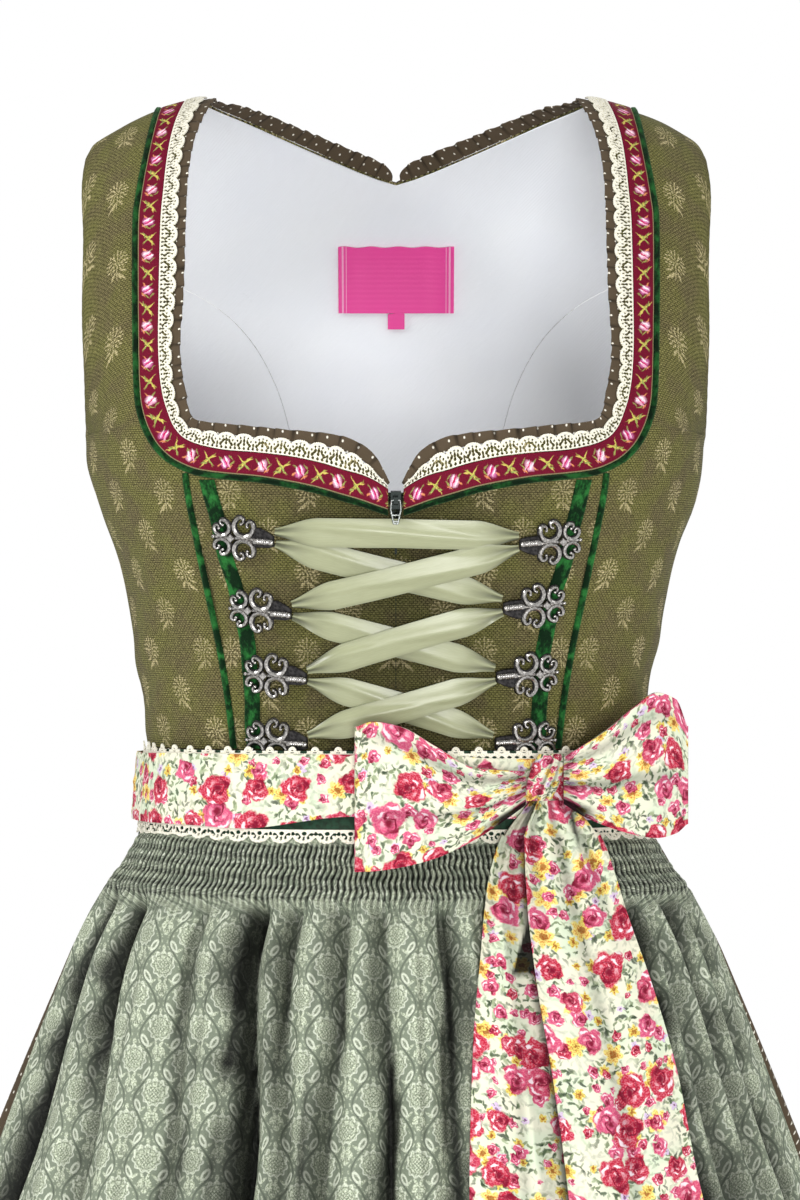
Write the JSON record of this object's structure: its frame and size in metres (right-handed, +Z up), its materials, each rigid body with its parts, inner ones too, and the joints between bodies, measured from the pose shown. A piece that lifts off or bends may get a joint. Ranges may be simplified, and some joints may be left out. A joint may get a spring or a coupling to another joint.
{
  "type": "dirndl dress",
  "caption": "Sleeveless knee-length dirndl dress, hollow as worn: laced bodice with a square neck, gathered skirt, smocked apron, and a sash tied in a bow.",
  "frame": {"origin": "midway between the undersides of the two shoulder straps, where the wearer's shoulders hold the dress", "axes": "+Z up, -Y out of the dress's front, +X to the right for someone who faces the front"},
  "size_m": [0.7658, 0.682, 1.048],
  "materials": {
    "olive_jacquard": "matt ribbed cloth with small woven sprigs",
    "lining_cloth": "plain smooth lining",
    "label_satin": "plain satin label",
    "dotted_cloth": "matt cotton with small dots",
    "lace": "cotton lace",
    "flower_braid": "woven ribbon",
    "velvet": "velvet ribbon",
    "antique_silver": "antique silver casting",
    "satin": "satin ribbon",
    "zip_metal": "dull metal",
    "zip_tape": "woven zip tape",
    "band_cloth": "matt cotton",
    "damask": "woven damask with a soft sheen",
    "rose_print": "printed cotton"
  },
  "bodies": {
    "dress": {"apron": "damask", "apron_waistband": "band_cloth", "band_lace_bottom": "lace", "band_lace_top": "lace", "bodice_back": "olive_jacquard", "bodice_front_l": "olive_jacquard", "bodice_front_r": "olive_jacquard", "bodice_side_back_l": "olive_jacquard", "bodice_side_back_r": "olive_jacquard", "bodice_side_front_l": "olive_jacquard", "bodice_side_front_r": "olive_jacquard", "bow_knot": "rose_print", "bow_loop_l": "rose_print", "bow_loop_r": "rose_print", "bow_tail_l": "rose_print", "bow_tail_r": "rose_print", "hook_l1": "antique_silver", "hook_l2": "antique_silver", "hook_l3": "antique_silver", "hook_l4": "antique_silver", "hook_r1": "antique_silver", "hook_r2": "antique_silver", "hook_r3": "antique_silver", "hook_r4": "antique_silver", "label": "label_satin", "label_tab": "label_satin", "lacing_1": "satin", "lacing_2": "satin", "lacing_3": "satin", "lacing_4": "satin", "lacing_5": "satin", "lacing_6": "satin", "lacing_7": "satin", "lining_back": "lining_cloth", "lining_side_back_l": "lining_cloth", "lining_side_back_r": "lining_cloth", "neck_braid_l": "flower_braid", "neck_braid_r": "flower_braid", "neck_frill_back": "dotted_cloth", "neck_frill_front_l": "dotted_cloth", "neck_frill_front_r": "dotted_cloth", "neck_lace_l": "lace", "neck_lace_r": "lace", "neck_piping_l": "velvet", "neck_piping_r": "velvet", "sash_wrap": "rose_print", "seam_piping_l": "velvet", "seam_piping_r": "velvet", "skirt_back": "dotted_cloth", "skirt_front": "dotted_cloth", "velvet_band_l": "velvet", "velvet_band_r": "velvet", "zip_slider": "zip_metal", "zip_tape": "zip_tape"},
    "zip_pull": {"zip_pull": "zip_metal"}
  },
  "joints": [
    {"name": "zip_pull_hinge", "type": "hinge", "parent": "dress", "child": "zip_pull", "pos_m": [0, -0.1323, -0.2049], "axis": [-1, 0, 0], "range_deg": [-8, 140]}
  ]
}
